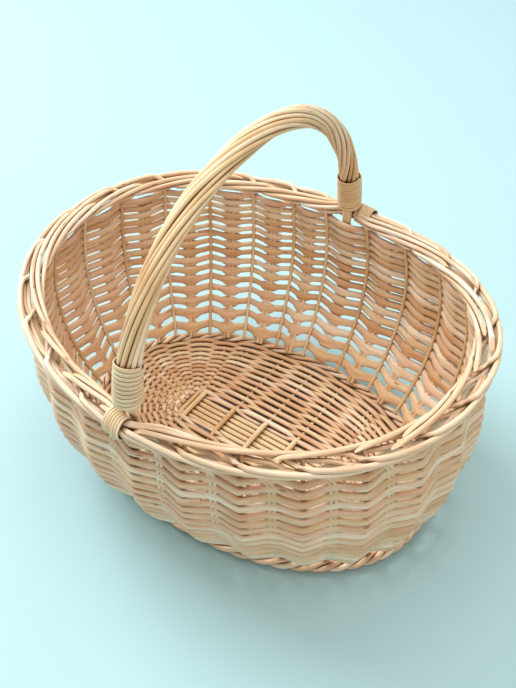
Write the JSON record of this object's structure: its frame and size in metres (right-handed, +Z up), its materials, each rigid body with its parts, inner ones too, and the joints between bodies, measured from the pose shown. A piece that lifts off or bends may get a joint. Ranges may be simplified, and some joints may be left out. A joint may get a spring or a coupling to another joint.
{
  "type": "oval wicker basket",
  "caption": "Oval woven willow picnic basket, open at the top, with a braided border and a fixed bow handle wrapped in willow rods and bound with cane.",
  "frame": {"origin": "middle of the base, on the surface that the basket stands on", "axes": "+X along the basket's length, +Y across it towards the back end of the handle, +Z up through the top of the handle"},
  "size_m": [0.399, 0.3349, 0.3332],
  "materials": {
    "weaving_willow": "peeled willow rods, close weave",
    "stake_willow": "peeled willow rods, smooth",
    "border_willow": "peeled willow rods, smooth",
    "handle_willow": "peeled willow rods, worn smooth",
    "split_cane": "pale split cane with a slight sheen"
  },
  "bodies": {
    "root": {"base_weave": "weaving_willow", "base_long_rod_1": "stake_willow", "base_long_rod_2": "stake_willow", "base_long_rod_3": "stake_willow", "base_long_rod_4": "stake_willow", "base_long_rod_5": "stake_willow", "base_cross_stick_1": "stake_willow", "base_cross_stick_2": "stake_willow", "base_cross_stick_3": "stake_willow", "base_cross_stick_4": "stake_willow", "base_cross_stick_5": "stake_willow", "upsett_wale": "weaving_willow", "wall_weave_lower": "weaving_willow", "wall_weave_middle": "weaving_willow", "wall_weave_upper": "weaving_willow", "outer_stake_01": "stake_willow", "outer_stake_02": "stake_willow", "outer_stake_03": "stake_willow", "outer_stake_04": "stake_willow", "outer_stake_05": "stake_willow", "outer_stake_06": "stake_willow", "outer_stake_07": "stake_willow", "outer_stake_08": "stake_willow", "outer_stake_09": "stake_willow", "outer_stake_10": "stake_willow", "outer_stake_11": "stake_willow", "outer_stake_12": "stake_willow", "outer_stake_13": "stake_willow", "outer_stake_14": "stake_willow", "outer_stake_15": "stake_willow", "outer_stake_16": "stake_willow", "outer_stake_17": "stake_willow", "outer_stake_18": "stake_willow", "outer_stake_19": "stake_willow", "outer_stake_20": "stake_willow", "outer_stake_21": "stake_willow", "outer_stake_22": "stake_willow", "outer_stake_23": "stake_willow", "outer_stake_24": "stake_willow", "border_strand_1": "border_willow", "border_strand_2": "border_willow", "border_strand_3": "border_willow", "border_strand_4": "border_willow", "handle_bow": "handle_willow", "handle_rod_01": "handle_willow", "handle_rod_02": "handle_willow", "handle_rod_03": "handle_willow", "handle_rod_04": "handle_willow", "handle_rod_05": "handle_willow", "handle_rod_06": "handle_willow", "handle_rod_07": "handle_willow", "handle_rod_08": "handle_willow", "handle_rod_09": "handle_willow", "handle_rod_10": "handle_willow", "handle_rod_11": "handle_willow", "handle_rod_12": "handle_willow", "front_collar_binding": "split_cane", "back_collar_binding": "split_cane", "front_lashing": "split_cane", "back_lashing": "split_cane"}
  },
  "joints": []
}
